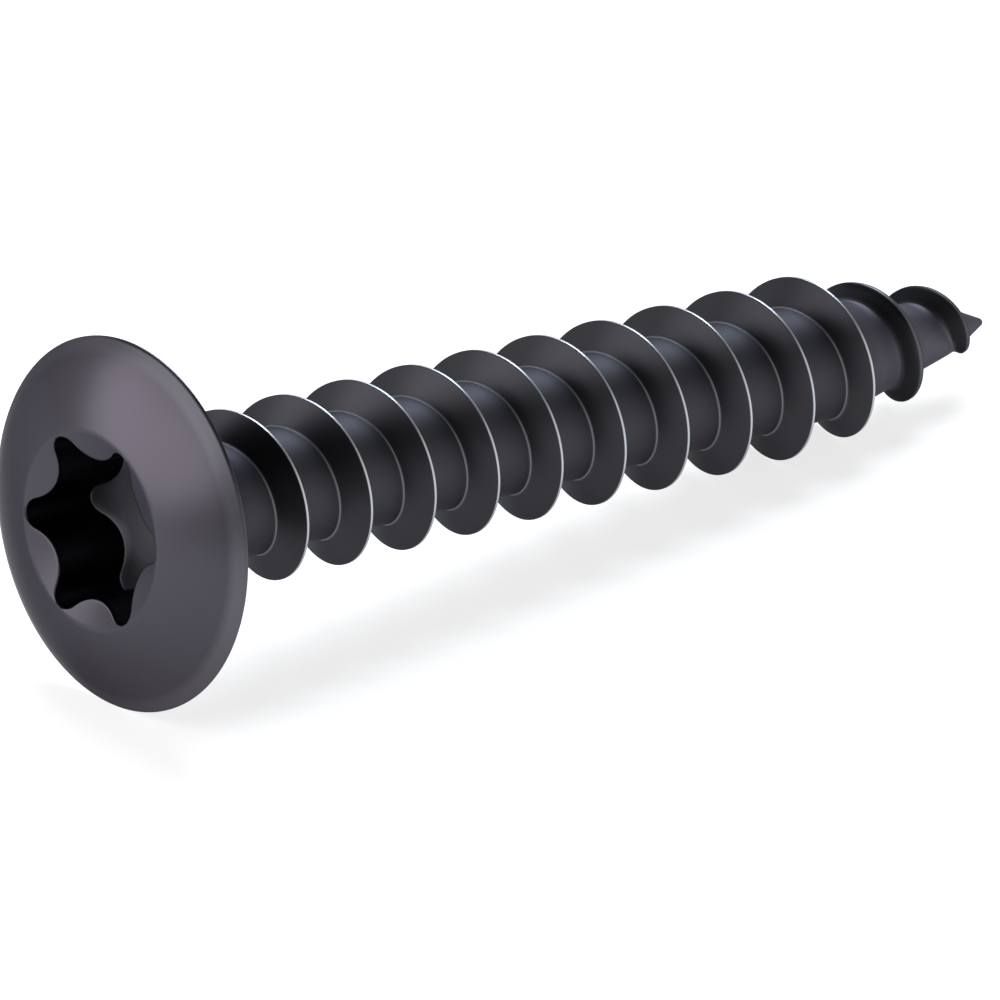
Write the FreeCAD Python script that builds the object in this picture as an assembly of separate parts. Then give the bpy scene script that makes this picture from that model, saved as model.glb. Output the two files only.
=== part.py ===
import FreeCAD, Part
import math
import os

# Hinge screw of coated steel, in one piece, in millimetres.
# It is drawn along +X from the underside of its head, which is x = 0, to its point.
# Then it is laid down as it rests on a table: on the rim of its head and one turn of its thread.

# Thread: one start, right-handed, with a coarse pitch and a deep, thin ridge.
THREAD_DIAMETER = 5.0
CORE_DIAMETER = 3.37
PITCH = 2.33
THREAD_ANGLE = 58.0
CREST_WIDTH = 0.10
LENGTH = 31.68

# The ridge begins under the end of the head's seat and rises out of the core over this length.
THREAD_UNDER_SEAT = 0.55
RUN_OUT_LENGTH = 1.55

# Towards the point the ridge gets lower, keeps that height down the taper, and sinks in near the tip.
# The distances are measured back from the tip.
LOW_RIDGE_HEIGHT = 0.56
LOWERING_BEGINS = 7.18
LOWERING_ENDS = 4.78
SINKING_BEGINS = 1.88
THREAD_ENDS = 0.63

# Point: a long taper, then a blunter nose with a rounded tip.
TAPER_LENGTH = 5.95
TAPER_HALF_ANGLE = 12.5
NOSE_HALF_ANGLE = 24.0
TIP_RADIUS = 0.12

# Head: a low dome with a bevelled rim, flat underneath.
HEAD_DIAMETER = 10.55
CROWN_HEIGHT = 1.60
RIM_BEVEL_WIDTH = 0.375
RIM_BEVEL_HEIGHT = 0.25
RIM_EDGE = 0.05

# Seat: the countersunk cone under the head, which fills the countersink of a hinge's hole.
SEAT_DIAMETER = 8.8
SEAT_ANGLE = 90.0
SEAT_BLEND_RADIUS = 0.9

# Star recess with six lobes, its mouth chamfered and its floor a flat cone.
STAR_ACROSS_LOBES = 5.50
STAR_ACROSS_RIBS = 3.97
STAR_LOBE_RADIUS = 0.45
STAR_LOBES = 6
STAR_DEPTH = 2.65
STAR_MOUTH_ANGLE = 146.0
STAR_FLOOR_ANGLE = 144.0

# Turn of the thread and of the recess about the axis, from straight up, as the screw lies.
THREAD_TURN = 98.9
STAR_TURN = 22.0

# The ridge is a closed skin whose foot lies inside the core, so that the two join cleanly.
# At both of its ends the crest lies inside the core too.
FOOT_DEPTH = 0.20
BURIED_CREST_DEPTH = 0.01
STATIONS_PER_TURN = 12
FACES_PER_TURN = 2

CORE_RADIUS = CORE_DIAMETER / 2
HEAD_RADIUS = HEAD_DIAMETER / 2
FLANK_ANGLE = math.radians(THREAD_ANGLE / 2)
FULL_HEIGHT = (THREAD_DIAMETER - CORE_DIAMETER) / 2
SEAT_LENGTH = (SEAT_DIAMETER - CORE_DIAMETER) / 2 / math.tan(math.radians(SEAT_ANGLE / 2))
THREAD_START = SEAT_LENGTH - THREAD_UNDER_SEAT
TAPER_START = LENGTH - TAPER_LENGTH
TAPER_SLOPE = math.tan(math.radians(TAPER_HALF_ANGLE))
NOSE_SLOPE = math.tan(math.radians(NOSE_HALF_ANGLE))
# The nose's cone, drawn on past the rounded tip, would end here on the axis.
NOSE_APEX = LENGTH - TIP_RADIUS + TIP_RADIUS / math.sin(math.radians(NOSE_HALF_ANGLE))
NOSE_START = (NOSE_APEX * NOSE_SLOPE - TAPER_START * TAPER_SLOPE - CORE_RADIUS) / (NOSE_SLOPE - TAPER_SLOPE)


def profile_point(x, radius):
    """A point of a turned profile, drawn in the XZ plane beside the X axis."""
    return FreeCAD.Vector(x, 0, radius)


def line(start, end):
    return Part.LineSegment(start, end).toShape()


def turned(edges):
    """Closed profile edges, turned about the X axis into a solid."""
    face = Part.Face(Part.Wire(edges))
    return face.revolve(FreeCAD.Vector(0, 0, 0), FreeCAD.Vector(1, 0, 0), 360)


def rounded_corner(before, corner, after, radius):
    """Arc of the given radius that rounds a corner, with the points where it starts and ends."""
    to_before = (before - corner).normalize()
    to_after = (after - corner).normalize()
    half_angle = to_before.getAngle(to_after) / 2
    setback = radius / math.tan(half_angle)
    start = corner + to_before * setback
    end = corner + to_after * setback
    inward = (to_before + to_after).normalize()
    middle = corner + inward * (radius / math.sin(half_angle) - radius)
    return start, end, Part.Arc(start, middle, end).toShape()


def core_radius(x):
    """Radius of the core between the turns of the thread, short of the rounded tip."""
    if x <= TAPER_START:
        return CORE_RADIUS
    if x <= NOSE_START:
        return CORE_RADIUS - (x - TAPER_START) * TAPER_SLOPE
    return (NOSE_APEX - x) * NOSE_SLOPE


def dome_height(radius):
    """Height of the head's dome above the underside, at a radius inside the bevelled rim."""
    edge_radius = HEAD_RADIUS - RIM_BEVEL_WIDTH
    rise = CROWN_HEIGHT - RIM_EDGE - RIM_BEVEL_HEIGHT
    sphere = (edge_radius ** 2 + rise ** 2) / (2 * rise)
    return CROWN_HEIGHT - sphere + math.sqrt(sphere ** 2 - radius ** 2)


def on_tip_ball(angle):
    """Point on the rounded tip, whose angle is 0 at its widest and a right angle on the axis."""
    return profile_point(LENGTH - TIP_RADIUS + TIP_RADIUS * math.sin(angle), TIP_RADIUS * math.cos(angle))


def head_and_core():
    """Head, seat, core and point, turned as one piece."""
    dome_radius = HEAD_RADIUS - RIM_BEVEL_WIDTH
    crown = profile_point(-CROWN_HEIGHT, 0)
    dome_middle = profile_point(-dome_height(dome_radius / 2), dome_radius / 2)
    dome_edge = profile_point(-RIM_EDGE - RIM_BEVEL_HEIGHT, dome_radius)
    rim_front = profile_point(-RIM_EDGE, HEAD_RADIUS)
    rim_back = profile_point(0, HEAD_RADIUS)
    seat_top = profile_point(0, SEAT_DIAMETER / 2)
    seat_end = profile_point(SEAT_LENGTH, CORE_RADIUS)
    taper_start = profile_point(TAPER_START, CORE_RADIUS)
    nose_start = profile_point(NOSE_START, core_radius(NOSE_START))
    tip = profile_point(LENGTH, 0)
    nose_angle = math.radians(NOSE_HALF_ANGLE)
    ball_start = on_tip_ball(nose_angle)
    ball_middle = on_tip_ball((nose_angle + math.pi / 2) / 2)
    blend_start, blend_end, blend = rounded_corner(seat_top, seat_end, taper_start, SEAT_BLEND_RADIUS)
    return turned([
        Part.Arc(crown, dome_middle, dome_edge).toShape(),
        line(dome_edge, rim_front),
        line(rim_front, rim_back),
        line(rim_back, seat_top),
        line(seat_top, blend_start),
        blend,
        line(blend_end, taper_start),
        line(taper_start, nose_start),
        line(nose_start, ball_start),
        Part.Arc(ball_start, ball_middle, tip).toShape(),
        line(tip, crown),
    ])


def smooth_step(x, start, end):
    """0 before start, 1 after end, and a smooth rise between them."""
    share = min(max((x - start) / (end - start), 0.0), 1.0)
    return share * share * (3 - 2 * share)


def ridge_height(x):
    """Height of the thread's crest above the core, which it leaves and enters just below the surface."""
    rising = smooth_step(x, THREAD_START, THREAD_START + RUN_OUT_LENGTH)
    lowering = smooth_step(x, LENGTH - LOWERING_BEGINS, LENGTH - LOWERING_ENDS)
    sinking = smooth_step(x, LENGTH - SINKING_BEGINS, LENGTH - THREAD_ENDS)
    height = FULL_HEIGHT - (FULL_HEIGHT - LOW_RIDGE_HEIGHT) * lowering
    return (height + BURIED_CREST_DEPTH) * rising * (1 - sinking) - BURIED_CREST_DEPTH


def ridge_section(x):
    """Section of the ridge at a place on its path, as (offset along the axis, radius) pairs.

    It runs from the foot on the head's side over the crest to the foot on the tip's side.
    """
    height = ridge_height(x)
    crest_offset = CREST_WIDTH / 2
    crest = core_radius(x) + height
    foot_offset = crest_offset + (height + FOOT_DEPTH) * math.tan(FLANK_ANGLE)
    return [
        (-foot_offset, core_radius(x - foot_offset) - FOOT_DEPTH),
        (-crest_offset, crest),
        (crest_offset, crest),
        (foot_offset, core_radius(x + foot_offset) - FOOT_DEPTH),
    ]


def on_helix(x, offset, radius):
    """Point at a radius on the thread's path, moved along the axis by the offset."""
    turn = math.radians(THREAD_TURN) + 2 * math.pi * x / PITCH
    return FreeCAD.Vector(x + offset, -radius * math.sin(turn), radius * math.cos(turn))


def ridge_curves():
    """One smooth curve along the thread for each corner of the ridge's section."""
    first = THREAD_START
    last = LENGTH - THREAD_ENDS
    count = math.ceil((last - first) / PITCH * STATIONS_PER_TURN)
    places = [first + (last - first) * i / count for i in range(count + 1)]
    sections = [ridge_section(x) for x in places]
    curves = []
    for corner in range(len(sections[0])):
        points = [on_helix(x, *section[corner]) for x, section in zip(places, sections)]
        curve = Part.BSplineCurve()
        curve.interpolate(Points=points, Parameters=places)
        curves.append(curve)
    return curves


def strip(curve, neighbour, start, end):
    """Face between two of the curves, straight across, over a stretch of the thread's path."""
    rows = []
    for whole in (curve, neighbour):
        stretch = whole.copy()
        stretch.segment(start, end)
        rows.append(stretch)
    along = rows[0]
    poles = [list(pair) for pair in zip(rows[0].getPoles(), rows[1].getPoles())]
    surface = Part.BSplineSurface()
    surface.buildFromPolesMultsKnots(
        poles, along.getMultiplicities(), [2, 2], along.getKnots(), [0.0, 1.0], False, False, along.Degree, 1)
    return surface.toShape()


def end_cap(curves, place):
    """Flat face that closes the ridge at one of its ends."""
    points = [curve.value(place) for curve in curves]
    return Part.Face(Part.makePolygon(points + points[:1]))


def thread_ridge():
    """The thread's ridge as a closed solid: crest, two flanks and a buried foot.

    Its faces are short stretches, because one face over many turns doesn't cut the core reliably.
    """
    curves = ridge_curves()
    first = curves[0].FirstParameter
    last = curves[0].LastParameter
    count = math.ceil((last - first) / PITCH * FACES_PER_TURN)
    cuts = [first + (last - first) * i / count for i in range(count + 1)]
    faces = [end_cap(curves, first), end_cap(curves, last)]
    for start, end in zip(cuts, cuts[1:]):
        for curve, neighbour in zip(curves, curves[1:] + curves[:1]):
            faces.append(strip(curve, neighbour, start, end))
    shell = Part.makeShell(faces)
    shell.sewShape()
    ridge = Part.Solid(shell)
    if ridge.Volume < 0:
        ridge.reverse()
    return ridge


def star_outline(x):
    """Closed outline of the star across the axis: six lobes joined by rounded ribs, all arcs tangent."""
    lobe_centre = STAR_ACROSS_LOBES / 2 - STAR_LOBE_RADIUS
    rib_tip = STAR_ACROSS_RIBS / 2
    half_step = math.pi / STAR_LOBES
    reach = lobe_centre * math.cos(half_step)
    rib_radius = (
        (STAR_LOBE_RADIUS ** 2 - lobe_centre ** 2 - rib_tip ** 2 + 2 * rib_tip * reach)
        / (2 * (rib_tip - reach - STAR_LOBE_RADIUS)))
    rib_centre = rib_tip + rib_radius
    # Each lobe's arc meets the rib's arc on the line between their two centres.
    share = STAR_LOBE_RADIUS / (STAR_LOBE_RADIUS + rib_radius)
    meet_along = lobe_centre + (rib_centre * math.cos(half_step) - lobe_centre) * share
    meet_aside = rib_centre * math.sin(half_step) * share
    meet_radius = math.hypot(meet_along, meet_aside)
    meet_angle = math.atan2(meet_aside, meet_along)

    def at(radius, angle):
        turn = math.radians(STAR_TURN) + angle
        return FreeCAD.Vector(x, -radius * math.sin(turn), radius * math.cos(turn))

    edges = []
    for number in range(STAR_LOBES):
        lobe = 2 * half_step * number
        rib = lobe + half_step
        lobe_start = at(meet_radius, lobe - meet_angle)
        lobe_end = at(meet_radius, lobe + meet_angle)
        next_lobe = at(meet_radius, lobe + 2 * half_step - meet_angle)
        edges.append(Part.Arc(lobe_start, at(STAR_ACROSS_LOBES / 2, lobe), lobe_end).toShape())
        edges.append(Part.Arc(lobe_end, at(rib_tip, rib), next_lobe).toShape())
    return Part.Wire(edges)


def star_recess():
    """What the driver's recess takes out of the head."""
    mouth_radius = STAR_ACROSS_LOBES / 2
    mouth_x = -dome_height(mouth_radius)
    outside_x = -2 * CROWN_HEIGHT
    wall_end_x = mouth_x + STAR_DEPTH
    floor_slope = 1 / math.tan(math.radians(STAR_FLOOR_ANGLE / 2))
    # The floor is a cone whose depth is measured where it meets the ribs.
    floor_tip_x = wall_end_x + STAR_ACROSS_RIBS / 2 * floor_slope
    floor_edge_radius = STAR_ACROSS_LOBES
    floor_edge_x = floor_tip_x - floor_edge_radius * floor_slope
    prism = Part.Face(star_outline(outside_x)).extrude(FreeCAD.Vector(floor_tip_x - outside_x, 0, 0))
    outside_centre = profile_point(outside_x, 0)
    bullet = turned([
        line(outside_centre, profile_point(outside_x, floor_edge_radius)),
        line(profile_point(outside_x, floor_edge_radius), profile_point(floor_edge_x, floor_edge_radius)),
        line(profile_point(floor_edge_x, floor_edge_radius), profile_point(floor_tip_x, 0)),
        line(profile_point(floor_tip_x, 0), outside_centre),
    ])
    mouth_slope = 1 / math.tan(math.radians(STAR_MOUTH_ANGLE / 2))
    mouth_tip_x = mouth_x + mouth_radius * mouth_slope
    outer_radius = (mouth_tip_x - outside_x) / mouth_slope
    mouth = turned([
        line(profile_point(mouth_tip_x, 0), outside_centre),
        line(outside_centre, profile_point(outside_x, outer_radius)),
        line(profile_point(outside_x, outer_radius), profile_point(mouth_tip_x, 0)),
    ])
    return prism.common(bullet).fuse(mouth)


def resting_tilt():
    """How far the point hangs below level when the rim and the lowest turn of thread touch the table."""
    first_bottom = PITCH * ((180.0 - THREAD_TURN) / 360.0)
    slopes = []
    x = first_bottom
    while x < LENGTH:
        if x > THREAD_START + RUN_OUT_LENGTH:
            slopes.append((HEAD_RADIUS - core_radius(x) - ridge_height(x)) / x)
        x += PITCH
    return math.degrees(math.atan(min(slopes)))


def laid_down(screw):
    """The screw as it rests, centred over the origin with its lowest points at z = 0."""
    screw.rotate(FreeCAD.Vector(0, 0, 0), FreeCAD.Vector(0, 1, 0), resting_tilt())
    box = screw.optimalBoundingBox(False)
    screw.translate(FreeCAD.Vector(-box.Center.x, -box.Center.y, -box.ZMin))
    return screw


def hinge_screw():
    screw = head_and_core().fuse(thread_ridge()).cut(star_recess())
    return laid_down(screw.Solids[0])


def main():
    os.makedirs("parts", exist_ok=True)
    screw = hinge_screw()
    screw.exportStep("parts/hinge_screw.step")
    print("volume", round(screw.Volume, 2), "tilt", round(resting_tilt(), 3))


main()
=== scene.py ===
import bpy
import bmesh
import cmath
import math
from mathutils import Matrix, Vector


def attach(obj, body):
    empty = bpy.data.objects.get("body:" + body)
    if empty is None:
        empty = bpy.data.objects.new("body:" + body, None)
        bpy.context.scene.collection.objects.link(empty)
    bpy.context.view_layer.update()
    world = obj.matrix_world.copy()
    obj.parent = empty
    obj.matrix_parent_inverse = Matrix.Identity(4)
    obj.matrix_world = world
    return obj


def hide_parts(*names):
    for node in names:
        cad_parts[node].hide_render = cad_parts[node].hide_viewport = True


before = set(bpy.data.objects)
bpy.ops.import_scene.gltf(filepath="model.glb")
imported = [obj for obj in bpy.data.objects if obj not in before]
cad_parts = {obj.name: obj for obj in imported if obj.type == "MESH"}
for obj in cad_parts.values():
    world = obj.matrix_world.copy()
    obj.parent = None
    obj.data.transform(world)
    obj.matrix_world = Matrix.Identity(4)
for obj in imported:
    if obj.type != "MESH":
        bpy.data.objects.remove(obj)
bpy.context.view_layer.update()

# Hinge screw of dark coated steel: a domed head with a star recess, and a deep wood thread.
# It is shaped in millimetres in its own frame, from the underside of the head at x = 0 to its point,
# and then laid down where it rests. Angles about its axis run from its own top towards -Y.

# Thread
THREAD_RADIUS = 2.5
CORE_RADIUS = 1.685
PITCH = 2.33
FLANK_ANGLE = 29.3
CREST_WIDTH = 0.065
CREST_ROUNDING = 0.02
ROOT_ROUNDING = 0.035
LENGTH = 31.68
THREAD_TURN = 98.9
RISES = (2.165, 3.715)
LOWERS = (24.50, 26.90)
SINKS = (29.90, 31.12)
LOW_CREST_HEIGHT = 0.56
BLUNTS = (26.2, 27.6)
BLUNT_CREST_WIDTH = 0.11
BLUNT_CREST_ROUNDING = 0.18
BLUNT_ROOT_ROUNDING = 0.22

# Seat, taper and nose
SEAT_RADIUS = 4.4
SEAT_ROUNDING = 0.44
TAPER_START = 25.73
TAPER_SLOPE = math.tan(math.radians(12.5))
TAPER_ROUNDING = 0.10
NOSE_SLOPE = math.tan(math.radians(24.0))
NOSE_APEX = 31.855
NOSE_ROUNDING = 0.15
NOSE_RING = 31.20
TIP_RADIUS = 0.12

# Head: a dome that ends in a bevel, which it meets softly over the blend, and a thin rim with rounded edges
HEAD_RADIUS = 5.272
CROWN_HEIGHT = 1.60
BEVEL_WIDTH = 0.375
BEVEL_HEIGHT = 0.25
BEVEL_BLEND = 0.11
RIM_EDGE = 0.05
RIM_ROUNDING = 0.06

# Star recess: its floor meets its wall in a fillet, and its mouth's edges are rounded.
STAR_TURN = 22.0
LOBES = 6
ACROSS_LOBES = 5.50
ACROSS_RIBS = 3.97
LOBE_RADIUS = 0.45
STAR_DEPTH = 2.65
MOUTH_RADIUS = 2.80
MOUTH_SLOPE = 1 / math.tan(math.radians(73.0))
FLOOR_SLOPE = 1 / math.tan(math.radians(72.0))
FLOOR_FILLET = 0.05
EDGE = 0.035

# How finely the skin is divided: points round the axis, rows across one pitch of the thread, and turns in
# all, of which one comes before the count starts, so that the strip covers the whole seat
COLUMNS = 144
ROWS = 32
TURNS = 16
TURNS_BEFORE = 1
# Points of the skin that are nearer to each other than this become one.
MERGE_DISTANCE = 0.003
# Where the rows lie, from the crest's middle to just past the ridge's foot, and from there to the next turn
RIDGE_REACH = 1.12
RIDGE_ROWS = (0.037, 0.063, 0.078, 0.096, 0.118, 0.236, 0.40, 0.60, 0.78, 0.845, 0.893, 0.935, 1.0)
CORE_ROWS = (0.0, 0.16, 0.54)

# Painted highlight: how strongly a pale steel colour is painted in, where 1 is in full, as on the sharp crest
ROOT_GLINT = 0.36
BLUNT_CREST_GLINT = 0.15
BEVEL_GLINT = 0.085
BEVEL_EDGE_GLINT = 0.045
# The crest's painted highlight line fades out between these distances past the crest's edge, and the root's
# painted highlight within this distance of the ridge's foot.
CREST_LINE_ENDS = (-0.004, 0.010)
ROOT_LINE_REACH = 0.025
# Both lines fade in while the ridge comes up through these shares of its height.
LINES_BEGIN = (0.4, 0.9)
# The bevel's painted highlight is strongest at this angle about the axis, its lit side, and absent on the
# other side.
LIT_SIDE = math.radians(68)
# Painted shade on the ridges: how dark the sharp ridge is painted, where 1 is as dark as the blunt one near
# the point, and the height above the core from which it is so
RIDGE_SHADE = 0.38
SHADE_HEIGHT = 0.08

# Coating: how wide its clouds and its grain are, and how rough it is in the grain's lows and highs
CLOUD_SIZE = 4.0
GRAIN_SIZE = 0.06
GRAIN_ROUGHNESS = (0.28, 0.31)
# Places along the axis between which the head's look changes to the thread's, and the thread's to a lighter
# one, a painted highlight towards the point
THREAD_LOOK = (0.0, 2.0)
POINT_HIGHLIGHT = (25.4, 27.2)
# How much rougher the thread is than the head, and the core than the ridge, with the radii between which the
# core's look ends
THREAD_ROUGHER = 0.07
CORE_ROUGHER = 0.18
CORE_LOOK_ENDS = (CORE_RADIUS + 0.02, CORE_RADIUS + 0.08)

# Place at rest: the point hangs a little, and the underside's centre sits here, in metres
TILT = math.radians(6.64357895)
UNDERSIDE = Vector((-0.01497414, 0.0, 0.005245466))
LAID_DOWN = Matrix.Translation(UNDERSIDE) @ Matrix.Rotation(TILT, 4, "Y") @ Matrix.Scale(0.001, 4)


def colour(code):
    """Linear colour, with alpha, from an sRGB hex code."""
    shares = [int(code[i:i + 2], 16) / 255 for i in (1, 3, 5)]
    return (*[s / 12.92 if s <= 0.04045 else ((s + 0.055) / 1.055) ** 2.4 for s in shares], 1.0)


def add(tree, kind, inputs=(), **settings):
    """Adds a node with its settings. Its inputs, in order or by name, get values, sockets or other nodes."""
    node = tree.nodes.new(kind)
    for name, value in settings.items():
        setattr(node, name, value)
    pairs = inputs.items() if isinstance(inputs, dict) else enumerate(inputs)
    for key, value in pairs:
        if isinstance(value, bpy.types.Node):
            value = next(socket for socket in value.outputs if socket.enabled)
        if isinstance(value, bpy.types.NodeSocket):
            tree.links.new(value, node.inputs[key])
        else:
            node.inputs[key].default_value = value
    return node


# Thread: one long strip, a pitch wide, wound round the axis so that each turn's edge meets the next turn's

def thread_tree(material):
    tree = bpy.data.node_groups.new("wood_thread", "GeometryNodeTree")
    sizes = {
        "Pitch": PITCH,
        "Core Radius": CORE_RADIUS,
        "Crest Height": THREAD_RADIUS - CORE_RADIUS,
        "Low Crest Height": LOW_CREST_HEIGHT,
        "Crest Width": CREST_WIDTH,
        "Blunt Crest Width": BLUNT_CREST_WIDTH,
        "Root Rounding": ROOT_ROUNDING,
        "Blunt Root Rounding": BLUNT_ROOT_ROUNDING,
        "Flank Angle": math.radians(FLANK_ANGLE),
        "Seat Radius": SEAT_RADIUS,
    }
    for name, value in sizes.items():
        tree.interface.new_socket(name, in_out="INPUT", socket_type="NodeSocketFloat").default_value = value
    tree.interface.new_socket("Screw", in_out="OUTPUT", socket_type="NodeSocketGeometry")
    given = tree.nodes.new("NodeGroupInput").outputs
    half_pitch = add(tree, "ShaderNodeMath", (given["Pitch"], 0.5), operation="MULTIPLY")
    slope = add(tree, "ShaderNodeMath", (given["Flank Angle"],), operation="TANGENT")

    # A flat strip, with the turns along it and the rows across it
    strip = add(tree, "GeometryNodeMeshGrid", (TURNS, 2.0, TURNS * COLUMNS + 1, ROWS + 1))
    place = add(tree, "ShaderNodeSeparateXYZ", (add(tree, "GeometryNodeInputPosition"),)).outputs
    turn = add(tree, "ShaderNodeMath", (place["X"], TURNS / 2 - TURNS_BEFORE), operation="ADD")
    advance = add(tree, "ShaderNodeMath", (turn, (STAR_TURN - THREAD_TURN) / 360), operation="ADD")
    crest_x = add(tree, "ShaderNodeMath", (advance, given["Pitch"]), operation="MULTIPLY")

    # The ridge rises behind the head, gets lower and blunter towards the point and sinks in near the tip.
    rise = add(tree, "ShaderNodeMapRange", (crest_x, *RISES, 0.0, 1.0), interpolation_type="SMOOTHSTEP")
    sinking = add(tree, "ShaderNodeMapRange", (crest_x, *SINKS, 1.0, 0.0), interpolation_type="SMOOTHSTEP")
    present = add(tree, "ShaderNodeMath", (rise, sinking), operation="MULTIPLY")
    height = add(
        tree, "ShaderNodeMapRange", (crest_x, *LOWERS, given["Crest Height"], given["Low Crest Height"]),
        interpolation_type="SMOOTHSTEP")
    blunt = add(tree, "ShaderNodeMapRange", (crest_x, *BLUNTS, 0.0, 1.0), interpolation_type="SMOOTHSTEP")
    width = add(
        tree, "ShaderNodeMix",
        {"Factor": blunt, "A": given["Crest Width"], "B": given["Blunt Crest Width"]})
    crest_rounding = add(
        tree, "ShaderNodeMix", {"Factor": blunt, "A": CREST_ROUNDING, "B": BLUNT_CREST_ROUNDING})
    root_rounding = add(
        tree, "ShaderNodeMix",
        {"Factor": blunt, "A": given["Root Rounding"], "B": given["Blunt Root Rounding"]})
    half_width = add(tree, "ShaderNodeMath", (width, 0.5), operation="MULTIPLY")
    foot = add(tree, "ShaderNodeMath", (height, slope, half_width), operation="MULTIPLY_ADD")

    # The rows lie close at the crest's edge and in the root, and wide on the flank and between the turns.
    from_middle = add(tree, "ShaderNodeMath", (place["Y"],), operation="ABSOLUTE")
    ridge_rows = add(tree, "ShaderNodeFloatCurve", {"Value": from_middle})
    core_rows = add(tree, "ShaderNodeFloatCurve", {"Value": from_middle})
    for node, first, shares in ((ridge_rows, 1, RIDGE_ROWS), (core_rows, len(RIDGE_ROWS), CORE_ROWS)):
        line = node.mapping.curves[0]
        for row, share in enumerate(shares, first):
            line.points.new(2 * row / ROWS, share)
        for point in line.points:
            point.handle_type = "VECTOR"
        node.mapping.update()
    reach = add(tree, "ShaderNodeMath", (foot, RIDGE_REACH), operation="MULTIPLY")
    beyond = add(tree, "ShaderNodeMath", (half_pitch, reach), operation="SUBTRACT")
    core_part = add(tree, "ShaderNodeMath", (core_rows, beyond), operation="MULTIPLY")
    off = add(tree, "ShaderNodeMath", (ridge_rows, reach, core_part), operation="MULTIPLY_ADD")
    side = add(tree, "ShaderNodeMath", (place["Y"],), operation="SIGN")
    along = add(tree, "ShaderNodeMath", (off, side, crest_x), operation="MULTIPLY_ADD")
    x = add(tree, "ShaderNodeClamp", (along, 0.0, NOSE_RING))

    # Across the ridge: crest, flank and root. The flank starts half a rounding higher than the crest, so that
    # rounding the edge between them hardly lowers the crest.
    sunk = add(tree, "ShaderNodeMath", (root_rounding, -1.0), operation="MULTIPLY")
    top = add(tree, "ShaderNodeMix", {"Factor": present, "A": sunk, "B": height})
    past_edge = add(tree, "ShaderNodeMath", (off, half_width), operation="SUBTRACT")
    beside = add(tree, "ShaderNodeMath", (past_edge, 0.0), operation="MAXIMUM")
    fall = add(tree, "ShaderNodeMath", (beside, slope), operation="DIVIDE")
    flank_top = add(tree, "ShaderNodeMath", (crest_rounding, 0.5, top), operation="MULTIPLY_ADD")
    flank = add(tree, "ShaderNodeMath", (flank_top, fall), operation="SUBTRACT")
    crest = add(tree, "ShaderNodeMath", (flank, top, crest_rounding), operation="SMOOTH_MIN")
    ridge = add(tree, "ShaderNodeMath", (crest, 0.0, root_rounding), operation="SMOOTH_MAX")

    # Along the core: the seat's cone, the cylinder, the taper and the nose
    cone = add(tree, "ShaderNodeMath", (given["Seat Radius"], x), operation="SUBTRACT")
    seat = add(tree, "ShaderNodeMath", (cone, given["Core Radius"], SEAT_ROUNDING), operation="SMOOTH_MAX")
    past_start = add(tree, "ShaderNodeMath", (x, TAPER_START), operation="SUBTRACT")
    taper = add(
        tree, "ShaderNodeMath", (past_start, -TAPER_SLOPE, given["Core Radius"]), operation="MULTIPLY_ADD")
    before_apex = add(tree, "ShaderNodeMath", (NOSE_APEX, x), operation="SUBTRACT")
    nose = add(tree, "ShaderNodeMath", (before_apex, NOSE_SLOPE), operation="MULTIPLY")
    point = add(tree, "ShaderNodeMath", (taper, nose, NOSE_ROUNDING), operation="SMOOTH_MIN")
    core = add(tree, "ShaderNodeMath", (seat, point, TAPER_ROUNDING), operation="SMOOTH_MIN")
    radius = add(tree, "ShaderNodeMath", (core, ridge), operation="ADD")

    # The strip is wound round the axis.
    angle = add(
        tree, "ShaderNodeMath", (turn, 2 * math.pi, math.radians(STAR_TURN)), operation="MULTIPLY_ADD")
    sine = add(tree, "ShaderNodeMath", (angle,), operation="SINE")
    cosine = add(tree, "ShaderNodeMath", (angle,), operation="COSINE")
    to_side = add(tree, "ShaderNodeMath", (radius, sine), operation="MULTIPLY")
    across = add(tree, "ShaderNodeMath", (to_side, -1.0), operation="MULTIPLY")
    up = add(tree, "ShaderNodeMath", (radius, cosine), operation="MULTIPLY")
    wound = add(tree, "ShaderNodeCombineXYZ", (x, across, up))

    # Painted highlight lines in a pale steel colour: on the crest, where they also stand for wear of the
    # coating, and weaker in the sharp root
    on_crest = add(tree, "ShaderNodeMapRange", (past_edge, *CREST_LINE_ENDS, 1.0, 0.0))
    from_foot = add(tree, "ShaderNodeMath", (off, foot), operation="SUBTRACT")
    foot_distance = add(tree, "ShaderNodeMath", (from_foot,), operation="ABSOLUTE")
    root_glint = add(tree, "ShaderNodeMapRange", (foot_distance, 0.0, ROOT_LINE_REACH, ROOT_GLINT, 0.0))
    glint_lines = add(tree, "ShaderNodeMath", (on_crest, root_glint), operation="MAXIMUM")
    crest_glint_strength = add(tree, "ShaderNodeMapRange", (blunt, 0.0, 1.0, 1.0, BLUNT_CREST_GLINT))
    on_turns = add(tree, "ShaderNodeMapRange", (present, *LINES_BEGIN, 0.0, crest_glint_strength))
    painted_glint_and_wear = add(tree, "ShaderNodeMath", (glint_lines, on_turns), operation="MULTIPLY")

    # Painted shade in a darker colour: a little on the whole ridge, and most where it is blunt near the point
    most = add(tree, "ShaderNodeMapRange", (blunt, 0.0, 1.0, RIDGE_SHADE, 1.0))
    painted_shade = add(
        tree, "ShaderNodeMapRange", (ridge, 0.0, SHADE_HEIGHT, 0.0, most), interpolation_type="SMOOTHSTEP")

    marked = add(
        tree, "GeometryNodeStoreNamedAttribute", {"Geometry": strip, "Name": "painted_glint_and_wear", "Value": painted_glint_and_wear})
    shade_stored = add(
        tree, "GeometryNodeStoreNamedAttribute", {"Geometry": marked, "Name": "painted_shade", "Value": painted_shade})
    placed = add(tree, "GeometryNodeSetPosition", {"Geometry": shade_stored, "Position": wound})
    real = add(tree, "GeometryNodeRealizeInstances", (placed,))
    finished = add(tree, "GeometryNodeSetMaterial", {"Geometry": real, "Material": material})
    add(tree, "NodeGroupOutput", (finished,))
    return tree, sizes


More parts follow.
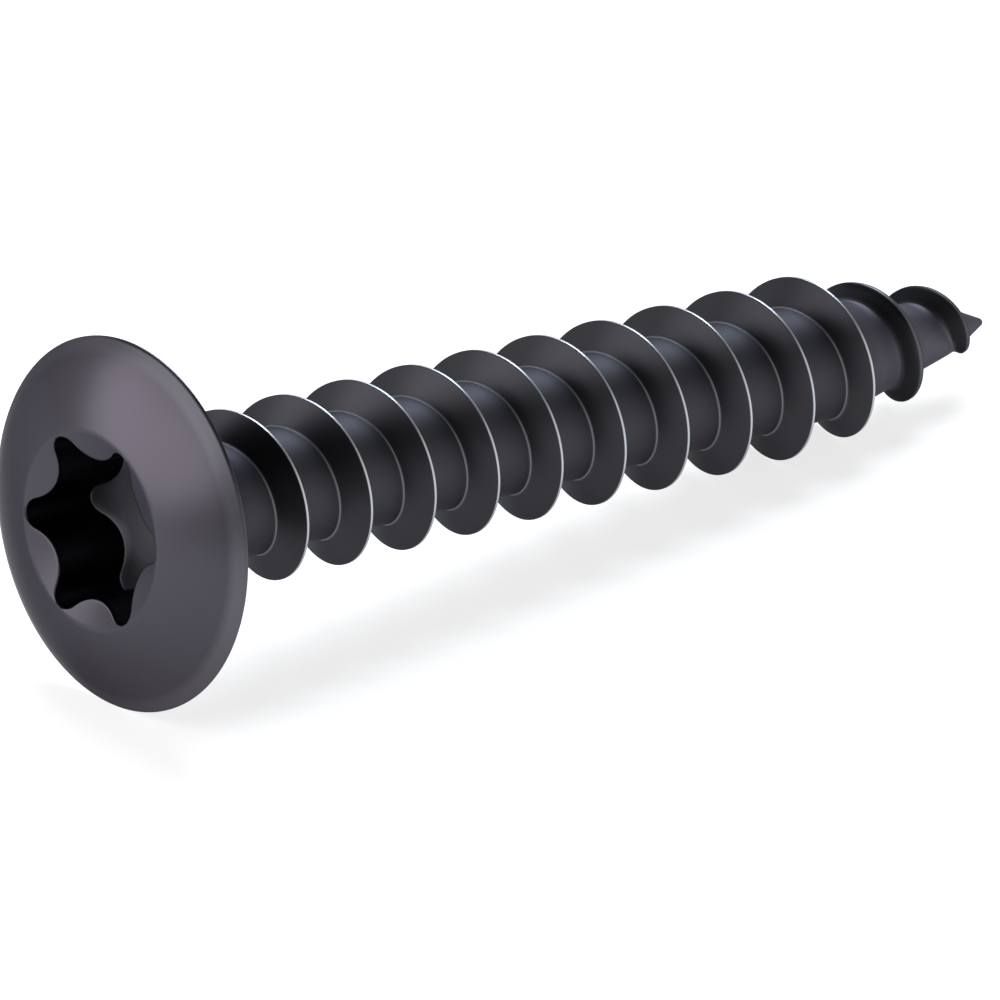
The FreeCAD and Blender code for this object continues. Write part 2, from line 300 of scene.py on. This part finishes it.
def thread_mesh(material):
    tree, sizes = thread_tree(material)
    holder = bpy.data.objects.new("thread_strip", bpy.data.meshes.new("thread_strip"))
    bpy.context.scene.collection.objects.link(holder)
    modifier = holder.modifiers.new("wood_thread", "NODES")
    modifier.node_group = tree
    for item in tree.interface.items_tree:
        if item.in_out == "INPUT":
            modifier[item.identifier] = sizes[item.name]
    graph = bpy.context.evaluated_depsgraph_get()
    mesh = bpy.data.meshes.new_from_object(holder.evaluated_get(graph), depsgraph=graph)
    bpy.data.objects.remove(holder)
    return mesh


# Head and tip: rings of points across the axis, each point as a complex number, top and then towards -Y

def star_columns():
    """Evenly spaced points along the star's outline, each with its direction into the metal."""
    half_step = math.pi / LOBES
    lobe = ACROSS_LOBES / 2 - LOBE_RADIUS
    rib_tip = ACROSS_RIBS / 2
    reach = lobe * math.cos(half_step)
    # With this radius, the rib's arc meets the lobe's without a corner.
    rib_radius = (LOBE_RADIUS ** 2 - lobe ** 2 - rib_tip ** 2 + 2 * rib_tip * reach) / (
        2 * (rib_tip - reach - LOBE_RADIUS))
    rib = cmath.rect(rib_tip + rib_radius, half_step)
    lobe_sweep = cmath.phase(rib - lobe)
    lobe_length = LOBE_RADIUS * lobe_sweep
    half_length = lobe_length + rib_radius * (lobe_sweep - half_step)
    half_count = COLUMNS // LOBES // 2
    half = []
    for k in range(half_count + 1):
        length = half_length * k / half_count
        if length < lobe_length:
            outward = cmath.rect(1, length / LOBE_RADIUS)
            half.append((lobe + LOBE_RADIUS * outward, outward))
        else:
            outward = cmath.rect(1, lobe_sweep - (length - lobe_length) / rib_radius)
            half.append((rib - rib_radius * outward, outward))
    step = cmath.rect(1, 2 * half_step)
    period = half + [(z.conjugate() * step, n.conjugate() * step) for z, n in half[-2:0:-1]]
    start = math.radians(STAR_TURN)
    return [
        tuple(v * cmath.rect(1, start + 2 * half_step * number) for v in pair)
        for number in range(LOBES) for pair in period]


STAR = star_columns()
EVEN = [cmath.rect(1, math.radians(STAR_TURN) + 2 * math.pi * i / COLUMNS) for i in range(COLUMNS)]


def dome_x(radius):
    """Where the dome's surface lies along the axis, at a radius inside the bevel."""
    edge = HEAD_RADIUS - BEVEL_WIDTH
    rise = CROWN_HEIGHT - RIM_EDGE - BEVEL_HEIGHT
    sphere = (edge ** 2 + rise ** 2) / (2 * rise)
    return sphere - CROWN_HEIGHT - math.sqrt(sphere ** 2 - radius ** 2)


def mouth_x(radius):
    """Where the mouth's chamfer lies along the axis."""
    return dome_x(MOUTH_RADIUS) + (MOUTH_RADIUS - radius) * MOUTH_SLOPE


def floor_x(radius):
    """Where the recess's floor lies along the axis."""
    return dome_x(ACROSS_LOBES / 2) + STAR_DEPTH + (ACROSS_RIBS / 2 - radius) * FLOOR_SLOPE


def mix(a, b, share):
    return a + (b - a) * share


def round_ring(x, radius, evenness=1.0):
    """A circle. At evenness 0 its points are in line with the star's, and at 1 they are evenly spaced."""
    points = []
    for (z, _), even in zip(STAR, EVEN):
        way = mix(z / abs(z), even, evenness)
        points.append((x, radius * way / abs(way)))
    return points


def recess_rings():
    """From the recess's floor up its wall and over its chamfered mouth."""
    rings = []
    for share in (0.12, 0.3, 0.5, 0.7, 0.85):
        rings.append([(floor_x(abs(z * share)), z * share) for z, n in STAR])
    for inset, rise in ((1.0, 0.0), (0.6, 0.08), (0.26, 0.28), (0.06, 0.6), (0.0, 1.0)):
        fillet = [z - n * inset * FLOOR_FILLET for z, n in STAR]
        rings.append([(floor_x(abs(z)) - rise * FLOOR_FILLET, z) for z in fillet])
    for share in (0.2, 0.4, 0.6, 0.8, 0.94):
        rings.append([
            (mix(floor_x(abs(z)) - FLOOR_FILLET, mouth_x(abs(z)) + EDGE, share), z) for z, n in STAR])
    for inset, drop in ((0.0, EDGE), (0.3 * EDGE, 0.3 * EDGE), (EDGE, 0.0)):
        rings.append([(mouth_x(abs(z + n * inset)) + drop, z + n * inset) for z, n in STAR])
    edge = [(z + n * EDGE) for z, n in STAR]
    rim = [(MOUTH_RADIUS - EDGE) * z / abs(z) for z in edge]
    for share in (0.08, 0.3, 0.5, 0.7, 0.92, 1.0):
        ring = [mix(a, b, share) for a, b in zip(edge, rim)]
        rings.append([(mouth_x(abs(z)), z) for z in ring])
    return rings


def head_rings():
    """From the mouth's outer edge over the dome and the rim to the seat's start on the underside."""
    edge = HEAD_RADIUS - BEVEL_WIDTH
    bevel_x = -RIM_EDGE - BEVEL_HEIGHT
    profile = [(dome_x(MOUTH_RADIUS) + 0.2 * EDGE, MOUTH_RADIUS)]
    for share in (0.0, 0.04, 0.15, 0.3, 0.45, 0.6, 0.75, 0.88, 0.95, 1.0):
        radius = mix(MOUTH_RADIUS + EDGE, edge - BEVEL_BLEND, share)
        profile.append((dome_x(radius), radius))
    # The dome meets the bevel in one ring, a hair under the true corner, and smooth shading softens it.
    profile.append((bevel_x + 0.002, edge - 0.001))
    for share in (0.3, 0.5, 0.8, 0.9):
        profile.append((mix(bevel_x, -RIM_EDGE, share), mix(edge, HEAD_RADIUS, share)))
    # Round the thin rim: places along the axis, and distances inside the head's radius
    rim = ((-0.048, 0.012), (-0.034, 0.0), (-0.016, 0.0), (-0.004, 0.004), (0.0, 0.016), (0.0, RIM_ROUNDING))
    profile += [(x, HEAD_RADIUS - inset) for x, inset in rim]
    # The flat underside
    for share in (0.2, 0.5, 0.8, 0.95, 1.0):
        profile.append((0.0, mix(HEAD_RADIUS - RIM_ROUNDING, SEAT_RADIUS, share)))
    rings = []
    for x, radius in profile:
        evenness = min((radius - MOUTH_RADIUS) / (edge - MOUTH_RADIUS), 1.0) if x < 0 else 1.0
        rings.append(round_ring(x, radius, evenness))
    return rings


def tip_rings():
    """From the end of the thread's strip over the nose to the rounded tip."""
    half_angle = math.atan(NOSE_SLOPE)
    centre = LENGTH - TIP_RADIUS
    ball_start = centre + TIP_RADIUS * math.sin(half_angle)
    profile = []
    for share in (0.0, 0.35, 0.7, 1.0):
        x = mix(NOSE_RING, ball_start, share)
        profile.append((x, (NOSE_APEX - x) * NOSE_SLOPE))
    for share in (0.25, 0.5, 0.75):
        angle = mix(half_angle, math.pi / 2, share)
        profile.append((centre + TIP_RADIUS * math.sin(angle), TIP_RADIUS * math.cos(angle)))
    return [round_ring(x, radius) for x, radius in profile]


def add_rings(form, rings):
    """Joins rings of points into a skin, and returns the points of each ring."""
    made = [[form.verts.new((x, -z.imag, z.real)) for x, z in ring] for ring in rings]
    for ring, following in zip(made, made[1:]):
        for i in range(COLUMNS):
            j = (i + 1) % COLUMNS
            form.faces.new((ring[i], ring[j], following[j], following[i]))
    return made


def close_ring(form, ring, x):
    """Closes a skin's end with a fan round a point on the axis."""
    middle = form.verts.new((x, 0, 0))
    for i in range(COLUMNS):
        form.faces.new((ring[i], ring[(i + 1) % COLUMNS], middle))


def paint_bevel_highlight(form):
    """Paints a pale steel highlight on the head's bevel, most on its lit side, less on the edge beside the
    dome.
    """
    painted_glint_and_wear = form.verts.layers.float["painted_glint_and_wear"]
    for vert in form.verts:
        radius, turned = cmath.polar(complex(vert.co.z, -vert.co.y))
        past_edge = radius - (HEAD_RADIUS - BEVEL_WIDTH)
        if vert.co.x < 0 and past_edge > -MERGE_DISTANCE:
            lit_share = (1 + math.cos(turned - LIT_SIDE)) / 2
            vert[painted_glint_and_wear] = lit_share * (BEVEL_GLINT if past_edge > MERGE_DISTANCE else BEVEL_EDGE_GLINT)


def hinge_screw(material):
    form = bmesh.new()
    form.from_mesh(thread_mesh(material))
    head = add_rings(form, recess_rings() + head_rings())
    close_ring(form, head[0], floor_x(0))
    tip = add_rings(form, tip_rings())
    close_ring(form, tip[-1], LENGTH)
    paint_bevel_highlight(form)
    bmesh.ops.remove_doubles(form, verts=form.verts, dist=MERGE_DISTANCE)
    bmesh.ops.recalc_face_normals(form, faces=form.faces)
    for face in form.faces:
        face.smooth = True
    # The seat meets the flat underside in a sharp edge.
    corner = set()
    for vert in form.verts:
        from_seat = abs(math.hypot(vert.co.y, vert.co.z) - SEAT_RADIUS)
        if abs(vert.co.x) < MERGE_DISTANCE and from_seat < 2 * MERGE_DISTANCE:
            corner.add(vert)
    for edge in form.edges:
        if corner.issuperset(edge.verts):
            edge.smooth = False
    mesh = bpy.data.meshes.new("coated_screw")
    form.to_mesh(mesh)
    form.free()
    mesh.transform(LAID_DOWN)
    mesh.materials.clear()
    mesh.materials.append(material)
    screw = bpy.data.objects.new("coated_screw", mesh)
    bpy.context.scene.collection.objects.link(screw)
    return screw


def black_coated_steel():
    """Carbon steel, cold-forged and thread-rolled, with a slim dark coating baked on.

    It gives the eye a satin, slightly violet grey with broad soft highlights. On the thread's crest a pale
    steel colour is painted as a fine bright line, a painted highlight that also stands for wear of the
    coating. The root and the bevel get weaker painted highlights, a lighter colour near the point is a
    painted highlight too, and the ridges get painted shade.
    """
    material = bpy.data.materials.new("black_coated_steel")
    material.use_nodes = True
    tree = material.node_tree
    tree.nodes.clear()
    position = add(tree, "ShaderNodeTexCoord").outputs["Object"]
    # The screw's own frame again, in millimetres
    own = add(
        tree, "ShaderNodeMapping", (position, UNDERSIDE, (0, TILT, 0), (0.001, 0.001, 0.001)),
        vector_type="TEXTURE")
    # Wide clouds where the coating is a little thinner, and the fine grain that baking leaves
    cloud = add(tree, "ShaderNodeTexNoise", {"Vector": own, "Scale": 1 / CLOUD_SIZE, "Detail": 3.0})
    grain = add(tree, "ShaderNodeTexNoise", {"Vector": own, "Scale": 1 / GRAIN_SIZE, "Detail": 2.0})
    tint = add(
        tree, "ShaderNodeMix", {"Factor": cloud, "A": colour("#444147"), "B": colour("#4b484f")},
        data_type="RGBA")
    painted_glint_and_wear = add(tree, "ShaderNodeAttribute", attribute_name="painted_glint_and_wear").outputs["Fac"]
    # It is less violet on the thread. A lighter colour towards the point is a painted highlight, and a darker
    # one on the ridges is painted shade.
    along = add(tree, "ShaderNodeSeparateXYZ", (own,)).outputs["X"]
    on_thread = add(tree, "ShaderNodeMapRange", (along, *THREAD_LOOK, 0.0, 1.0))
    plain = add(
        tree, "ShaderNodeMix", {"Factor": on_thread, "A": tint, "B": colour("#47464b")}, data_type="RGBA")
    # Painted highlight: the colour turns lighter towards the point.
    near_point = add(
        tree, "ShaderNodeMapRange", (along, *POINT_HIGHLIGHT, 0.0, 1.0), interpolation_type="SMOOTHSTEP")
    with_point_highlight = add(
        tree, "ShaderNodeMix", {"Factor": near_point, "A": plain, "B": colour("#5c5861")}, data_type="RGBA")
    # Painted shade: the ridges turn darker, most the blunt one near the point.
    painted_shade = add(tree, "ShaderNodeAttribute", attribute_name="painted_shade").outputs["Fac"]
    coat_and_shade = add(tree, "ShaderNodeMix", {"Factor": painted_shade, "A": with_point_highlight, "B": colour("#2d2d30")}, data_type="RGBA")
    # Painted highlight: a pale steel grey on the crest, in the root and on the bevel; on the crest also wear.
    steel = add(
        tree, "ShaderNodeMix", {"Factor": painted_glint_and_wear, "A": coat_and_shade, "B": colour("#bcbec4")}, data_type="RGBA")
    # The coating is more matt on the thread than on the head, and most between the turns, where it gathers.
    across = add(tree, "ShaderNodeVectorMath", (own, (0, 1, 1)), operation="MULTIPLY")
    radius = add(tree, "ShaderNodeVectorMath", (across,), operation="LENGTH")
    gathered = add(tree, "ShaderNodeMapRange", (radius, *CORE_LOOK_ENDS, CORE_ROUGHER, 0.0))
    grained = add(tree, "ShaderNodeMapRange", (grain, 0.3, 0.7, *GRAIN_ROUGHNESS))
    rolled = add(tree, "ShaderNodeMath", (on_thread, THREAD_ROUGHER, gathered), operation="MULTIPLY_ADD")
    rough = add(tree, "ShaderNodeMath", (grained, rolled), operation="ADD")
    bump = add(tree, "ShaderNodeBump", {"Strength": 0.03, "Distance": 0.00001, "Height": grain})
    surface = add(tree, "ShaderNodeBsdfPrincipled", {
        "Base Color": steel, "Metallic": 1.0, "Roughness": rough, "Normal": bump,
        "Specular Tint": colour("#b0b0b0")})
    add(tree, "ShaderNodeOutputMaterial", (surface,))
    return material


# Table top: half its width in metres, and the strength of its glow
FLOOR_REACH = 3.0
FLOOR_GLOW = 0.74


def pale_board():
    """Matt pale grey table top.

    To the camera and to the metal it also glows, so they see plain white, apart from the screw's shadow.
    """
    material = bpy.data.materials.new("matt_pale_board")
    material.use_nodes = True
    tree = material.node_tree
    tree.nodes.clear()
    rays = add(tree, "ShaderNodeLightPath").outputs
    seen = add(tree, "ShaderNodeMath", (rays["Is Camera Ray"], rays["Is Glossy Ray"]), operation="MAXIMUM")
    clear = add(tree, "ShaderNodeMath", (seen, rays["Is Transmission Ray"]), operation="MAXIMUM")
    lift = add(tree, "ShaderNodeMath", (clear, FLOOR_GLOW), operation="MULTIPLY")
    board = add(tree, "ShaderNodeBsdfDiffuse", {"Color": colour("#bcbcbc")})
    glow = add(tree, "ShaderNodeEmission", {"Color": colour("#ffffff"), "Strength": lift})
    both = add(tree, "ShaderNodeAddShader", (board, glow))
    add(tree, "ShaderNodeOutputMaterial", (both,))
    return material


def floor():
    form = bmesh.new()
    bmesh.ops.create_grid(form, x_segments=1, y_segments=1, size=FLOOR_REACH)
    mesh = bpy.data.meshes.new("table_top")
    form.to_mesh(mesh)
    form.free()
    mesh.materials.append(pale_board())
    top = bpy.data.objects.new("table_top", mesh)
    bpy.context.scene.collection.objects.link(top)


# Camera: at the photograph's angle, and far off, so that the far turns look hardly smaller than the near
# ones. The rim's middle lies to the left of the frame's middle and a little below it. Lengths are in metres.
AZIMUTH = math.radians(-40.770)
ELEVATION = math.radians(25.803)
DISTANCE = 1.2
FRAME_WIDTH = 0.0275068
RIM_ASIDE = 0.0103707
RIM_BELOW = 0.0006533
BACK = Vector((
    math.sin(AZIMUTH) * math.cos(ELEVATION), -math.cos(AZIMUTH) * math.cos(ELEVATION), math.sin(ELEVATION)))
RIGHT = Vector((math.cos(AZIMUTH), math.sin(AZIMUTH), 0))
UP = BACK.cross(RIGHT)

# Studio: white walls end in a dark ceiling between these heights, where 1 is straight up.
WALL_TOPS = (0.36, 0.56)
CEILING = 0.12
# In front and to the left the walls are darker, most up to the first of two angles from this way, and no more
# from the second on.
DARKEST_WAY = RIGHT * -0.60 + UP * -0.14 + BACK * 0.79
DARK_ANGLES = (math.radians(30), math.radians(65))
DARK_WALL = 0.5
# As light on matt surfaces, the studio is a little weaker than what the camera and the metal see.
LIGHT_ON_MATT = 0.8


def surroundings():
    """A studio with white walls behind and on the right, a dark ceiling and darker walls in front."""
    world = bpy.data.worlds.new("studio")
    bpy.context.scene.world = world
    world.use_nodes = True
    tree = world.node_tree
    tree.nodes.clear()
    way = add(tree, "ShaderNodeTexCoord").outputs["Generated"]
    height = add(tree, "ShaderNodeSeparateXYZ", (way,)).outputs["Z"]
    walls = add(
        tree, "ShaderNodeMapRange", (height, *WALL_TOPS, 1.0, CEILING), interpolation_type="SMOOTHSTEP")
    nearness = add(tree, "ShaderNodeVectorMath", (way, DARKEST_WAY.normalized()), operation="DOT_PRODUCT")
    from_darkest = add(tree, "ShaderNodeMath", (nearness,), operation="ARCCOSINE")
    side = add(
        tree, "ShaderNodeMapRange", (from_darkest, *DARK_ANGLES, DARK_WALL, 1.0),
        interpolation_type="SMOOTHSTEP")
    seen = add(tree, "ShaderNodeMath", (walls, side), operation="MULTIPLY")
    rays = add(tree, "ShaderNodeLightPath").outputs
    direct = add(tree, "ShaderNodeMath", (rays["Is Camera Ray"], rays["Is Glossy Ray"]), operation="MAXIMUM")
    clear = add(tree, "ShaderNodeMath", (direct, rays["Is Transmission Ray"]), operation="MAXIMUM")
    strength = add(tree, "ShaderNodeMapRange", (clear, 0.0, 1.0, LIGHT_ON_MATT, 1.0))
    light = add(tree, "ShaderNodeMath", (seen, strength), operation="MULTIPLY")
    sky = add(tree, "ShaderNodeBackground", {"Color": colour("#ffffff"), "Strength": light})
    add(tree, "ShaderNodeOutputWorld", (sky,))


def camera():
    data = bpy.data.cameras.new("camera")
    data.sensor_width = 36.0
    data.lens = data.sensor_width * DISTANCE / FRAME_WIDTH
    data.clip_end = 10.0
    eye = bpy.data.objects.new("camera", data)
    eye.location = UNDERSIDE + RIGHT * RIM_ASIDE + UP * RIM_BELOW + BACK * DISTANCE
    eye.rotation_mode = "QUATERNION"
    eye.rotation_quaternion = (-BACK).to_track_quat("-Z", "Y")
    bpy.context.scene.collection.objects.link(eye)
    bpy.context.scene.camera = eye


def lamp(name, aim, way, distance, width, height, energy, tint):
    """An oval soft lamp that faces a point of the screw."""
    data = bpy.data.lights.new(name, "AREA")
    data.shape = "ELLIPSE"
    data.size = width
    data.size_y = height
    data.energy = energy
    data.color = tint
    lit = bpy.data.objects.new(name, data)
    lit.location = aim + way.normalized() * distance
    lit.rotation_mode = "QUATERNION"
    lit.rotation_quaternion = (-way).to_track_quat("-Z", "Y")
    bpy.context.scene.collection.objects.link(lit)


def lamps():
    """Two soft lamps."""
    # Beside the head, and so near that it lights the dome much more than the thread
    lamp(
        "head_softbox", aim=UNDERSIDE, way=RIGHT * -0.869 + UP * 0.244 + BACK * 0.431, distance=0.055,
        width=0.068, height=0.044, energy=0.0193, tint=(1.0, 0.99, 1.0))
    # High above, for the top of the core between the turns
    lamp(
        "top_softbox", aim=Vector((0, 0, 0)), way=RIGHT * 0.024 + UP * 0.984 - BACK * 0.169, distance=0.6,
        width=0.45, height=0.45, energy=4.2, tint=(0.80, 0.90, 1.0))


bpy.context.scene.view_settings.view_transform = "Standard"
coating = black_coated_steel()
screw = hinge_screw(coating)
floor()
surroundings()
camera()
lamps()
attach(screw, "root")
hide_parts("hinge_screw")
